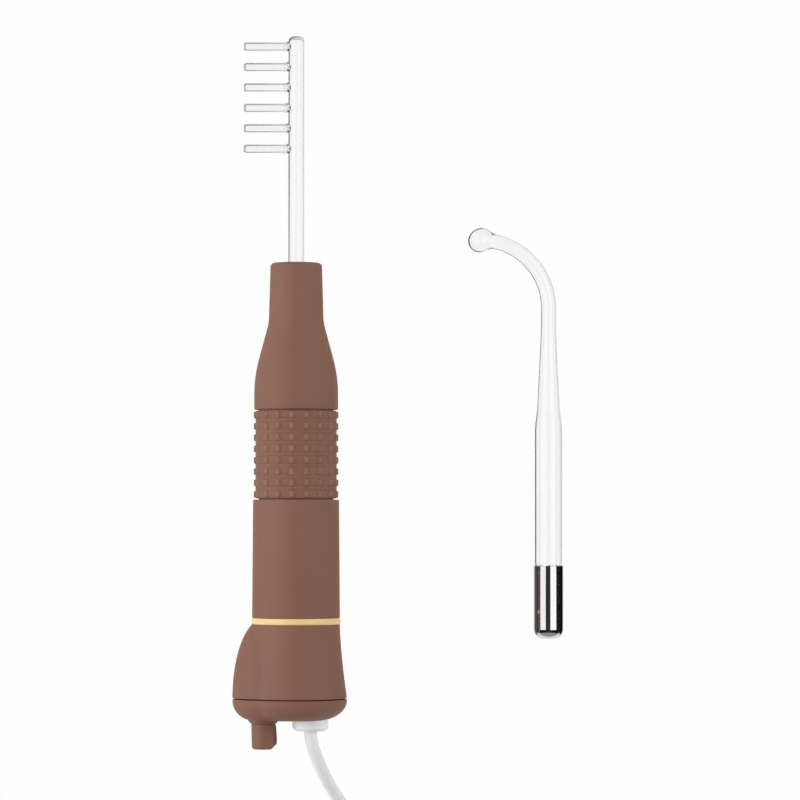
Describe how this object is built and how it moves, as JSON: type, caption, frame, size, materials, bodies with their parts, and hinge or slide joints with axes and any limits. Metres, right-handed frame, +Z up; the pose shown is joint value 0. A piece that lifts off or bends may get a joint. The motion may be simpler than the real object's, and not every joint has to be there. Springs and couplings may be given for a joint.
{
  "type": "violet ray wand",
  "caption": "Hand-held high-frequency wand with a nubbed grip, end dial and mains cord, a glass comb electrode in its nose and a bent glass point electrode beside it.",
  "frame": {"origin": "middle of the wand and the bent electrode, on the table that they lie on", "axes": "+Y along the wand from its cord end to its electrode, +X towards the bent electrode, +Z up"},
  "size_m": [0.1551, 0.4011, 0.0408],
  "materials": {
    "soft_touch_brown": "soft-touch coated",
    "grip_rubber": "matt moulded",
    "gold_trim": "satin gold",
    "white_plastic": "moulded",
    "cord_pvc": "smooth flexible sheath",
    "tie_strap": "woven hook and loop",
    "chrome": "bright plated",
    "steel": "turned",
    "clear_glass": "clear blown tube",
    "insulator": "turned insulating plastic",
    "ring_rubber": "moulded",
    "contact_brass": "stamped and turned",
    "copper_winding": "enamelled copper wire",
    "ferrite": "pressed ferrite",
    "board": "glass-fibre laminate",
    "component_case": "moulded cases",
    "heat_sink": "extruded",
    "pot_case": "moulded",
    "lead_wire": "insulated wire"
  },
  "bodies": {
    "handpiece": {"nose_cone": "soft_touch_brown", "grip_sleeve": "grip_rubber", "barrel_shell": "soft_touch_brown", "trim_ring": "gold_trim", "base_housing": "soft_touch_brown", "end_cap": "soft_touch_brown", "socket_tube": "insulator", "contact_leaf": "contact_brass", "contact_stud": "contact_brass", "coil_bobbin": "insulator", "secondary_winding": "copper_winding", "primary_winding": "copper_winding", "ferrite_core": "ferrite", "circuit_board": "board", "film_capacitor": "component_case", "smoothing_capacitor": "component_case", "rectifier": "component_case", "power_transistor": "component_case", "heat_sink": "heat_sink", "pot_case": "pot_case", "mains_leads": "lead_wire", "dial_leads": "lead_wire", "cord_gland": "white_plastic", "cord_run": "cord_pvc", "cord_coil": "cord_pvc", "cord_tail": "cord_pvc", "cord_tie": "tie_strap", "plug_body": "cord_pvc", "plug_pins": "chrome"},
    "knob": {"control_knob": "soft_touch_brown", "pot_rotor": "steel"},
    "electrode_ring": {"retaining_ring": "ring_rubber"},
    "comb_electrode": {"comb_glass": "clear_glass", "comb_cap": "chrome"},
    "bent_electrode": {"bent_glass": "clear_glass", "bent_cap": "chrome"}
  },
  "joints": [
    {"name": "knob_turn", "type": "hinge", "parent": "handpiece", "child": "knob", "pos_m": [-0.054, -0.13264, 0.0207], "axis": [0, 0.9996, -0.0297], "range_deg": [0, 300]},
    {"name": "electrode_swivel", "type": "hinge", "parent": "handpiece", "child": "electrode_ring", "pos_m": [-0.041, 0.03768, 0.01564], "axis": [0, 0.9996, -0.0297], "continuous": true},
    {"name": "electrode_pull", "type": "slide", "parent": "electrode_ring", "child": "comb_electrode", "axis": [0, 0.9996, -0.0297], "range_m": [0, 0.04]},
    {"name": "bent_lift", "type": "slide", "parent": "handpiece", "child": "bent_electrode", "axis": [0, 0, 1], "range_m": [0, 0.06]}
  ]
}
